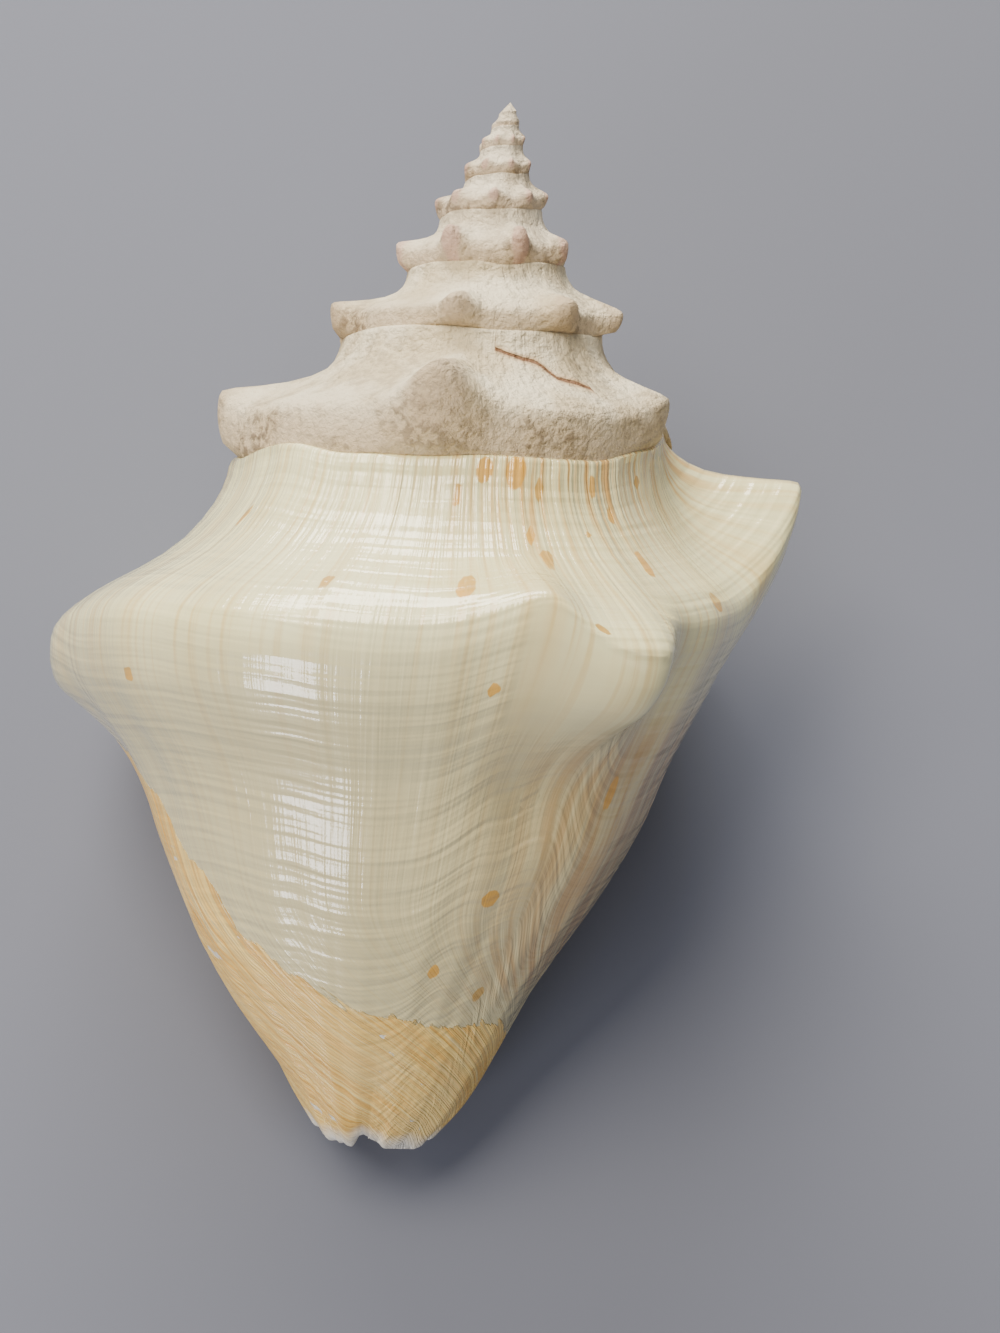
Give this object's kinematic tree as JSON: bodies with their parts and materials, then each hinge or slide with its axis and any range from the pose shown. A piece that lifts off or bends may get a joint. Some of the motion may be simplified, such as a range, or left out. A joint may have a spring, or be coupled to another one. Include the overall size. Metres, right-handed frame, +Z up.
{
  "type": "queen conch shell",
  "caption": "Large conch shell lying on its opening, with a tall pointed spire, blunt shoulder spines and a long tapering canal end.",
  "frame": {"origin": "bottom centre of the box around the resting shell", "axes": "+Z up, +Y towards the end with the spire, +X to the right-hand side of the shell's back"},
  "size_m": [0.1512, 0.2106, 0.1171],
  "materials": {
    "shell": "glossy on the body, chalky on the spire"
  },
  "bodies": {
    "root": {"conch_shell": "shell"}
  },
  "joints": []
}
